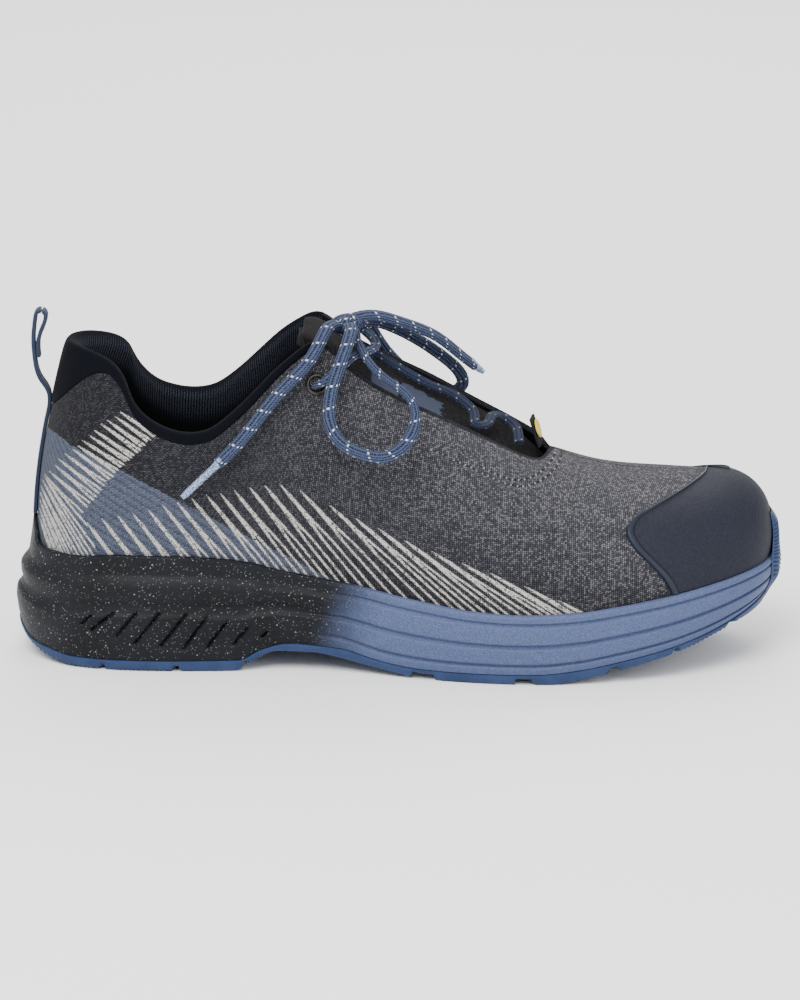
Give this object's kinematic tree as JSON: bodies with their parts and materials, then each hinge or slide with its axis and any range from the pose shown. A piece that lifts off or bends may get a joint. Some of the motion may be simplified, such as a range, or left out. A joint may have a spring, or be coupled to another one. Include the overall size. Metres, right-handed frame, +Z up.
{
  "type": "safety sneaker",
  "caption": "Right safety sneaker: knitted hollow upper with a toe cap overlay, cupped foam midsole with louvred heel, rubber outsole with a toe bumper, and laces tied in a bow.",
  "frame": {"origin": "on the floor under the middle of the heel's contact area", "axes": "+X from heel to toe, +Y towards the inner side of the foot, +Z up"},
  "size_m": [0.302, 0.1073, 0.1343],
  "materials": {
    "outsole": "matte blue rubber",
    "midsole": "speckled foam, near black at the heel and blue at the forefoot",
    "upper": "charcoal knit",
    "tongue": "black padded fabric",
    "insole": "dark textile",
    "toe_cap": "fine textured film",
    "collar": "navy black padded fabric",
    "eyelet": "dark metal ring",
    "lace": "slate blue braid with white flecks",
    "lace_tip": "clear grey blue tip",
    "tab": "black webbing",
    "tab_disc": "plain yellow"
  },
  "bodies": {
    "root": {"outsole": "outsole", "midsole": "midsole", "upper": "upper", "tongue": "tongue", "insole": "insole", "toe_cap": "toe_cap", "collar": "collar", "eyelet_outer": "eyelet", "eyelet_inner": "eyelet", "pull_loop": "lace", "lace_end_outer": "lace", "lace_end_inner": "lace", "lace_loop_outer": "lace", "lace_loop_inner": "lace", "lace_top_bar": "lace", "lace_crossings": "lace", "lace_knot": "lace", "lace_tip_outer": "lace_tip", "lace_tip_inner": "lace_tip", "throat_tab": "tab", "tab_disc": "tab_disc"}
  },
  "joints": []
}
